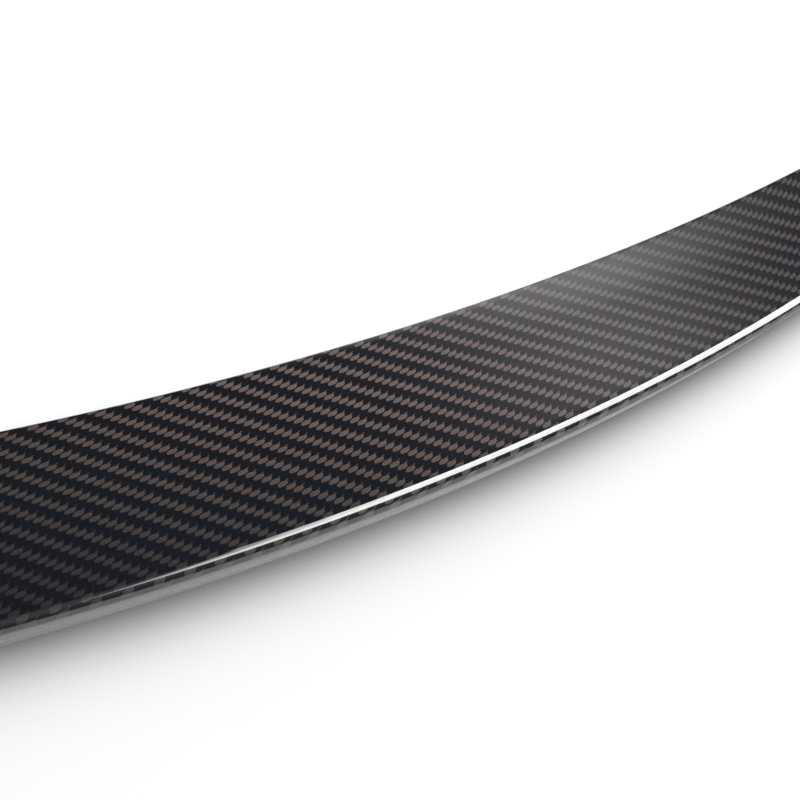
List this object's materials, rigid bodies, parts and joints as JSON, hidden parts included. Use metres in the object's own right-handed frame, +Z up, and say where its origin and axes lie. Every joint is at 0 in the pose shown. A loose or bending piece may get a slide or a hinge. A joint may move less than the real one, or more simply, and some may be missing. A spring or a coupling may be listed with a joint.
{
  "type": "car spoiler",
  "caption": "Bowed boot-lid lip spoiler moulded in clear-coated twill-weave carbon laminate, with a raised round trailing edge, undercut back and hollow underside for bonding.",
  "frame": {"origin": "on the bonding plane, under the middle of the bounding box", "axes": "+X to the right along the span, +Y forwards from the trailing edge to the leading edge, +Z up from the boot lid"},
  "size_m": [1.2242, 0.2142, 0.018],
  "materials": {
    "carbon_laminate": "glossy clear coat over a twill weave of carbon tows"
  },
  "bodies": {
    "root": {"spoiler_moulding": "carbon_laminate"}
  },
  "joints": []
}
